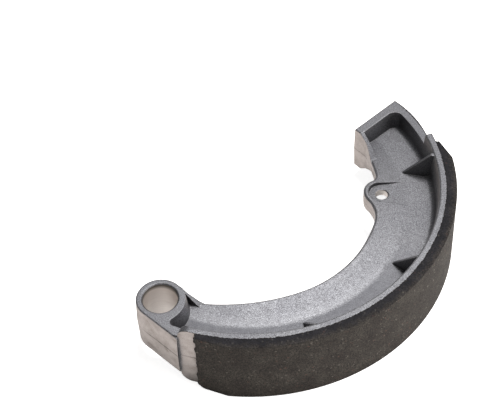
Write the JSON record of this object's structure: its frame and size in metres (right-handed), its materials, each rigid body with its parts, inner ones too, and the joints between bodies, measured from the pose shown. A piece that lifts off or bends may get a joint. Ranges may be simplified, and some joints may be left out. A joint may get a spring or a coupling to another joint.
{
  "type": "brake shoe",
  "caption": "Crescent-shaped cast drum brake shoe of T section with a bonded curved friction lining, a pivot eye at one end and a flat cam face at the other.",
  "frame": {"origin": "centre of the pivot bore, on the shoe's mid-plane", "axes": "+Z along the pivot bore, which is the drum's axis direction; +Y from the pivot towards the drum's centre, 71 mm away; +X towards the side that the lining is on"},
  "size_m": [0.1007, 0.1668, 0.035],
  "materials": {
    "cast_aluminium": "as cast and shot-blasted, matt",
    "lining": "moulded friction material, ground, matt"
  },
  "bodies": {
    "root": {"shoe_casting": "cast_aluminium", "friction_lining": "lining"}
  },
  "joints": []
}
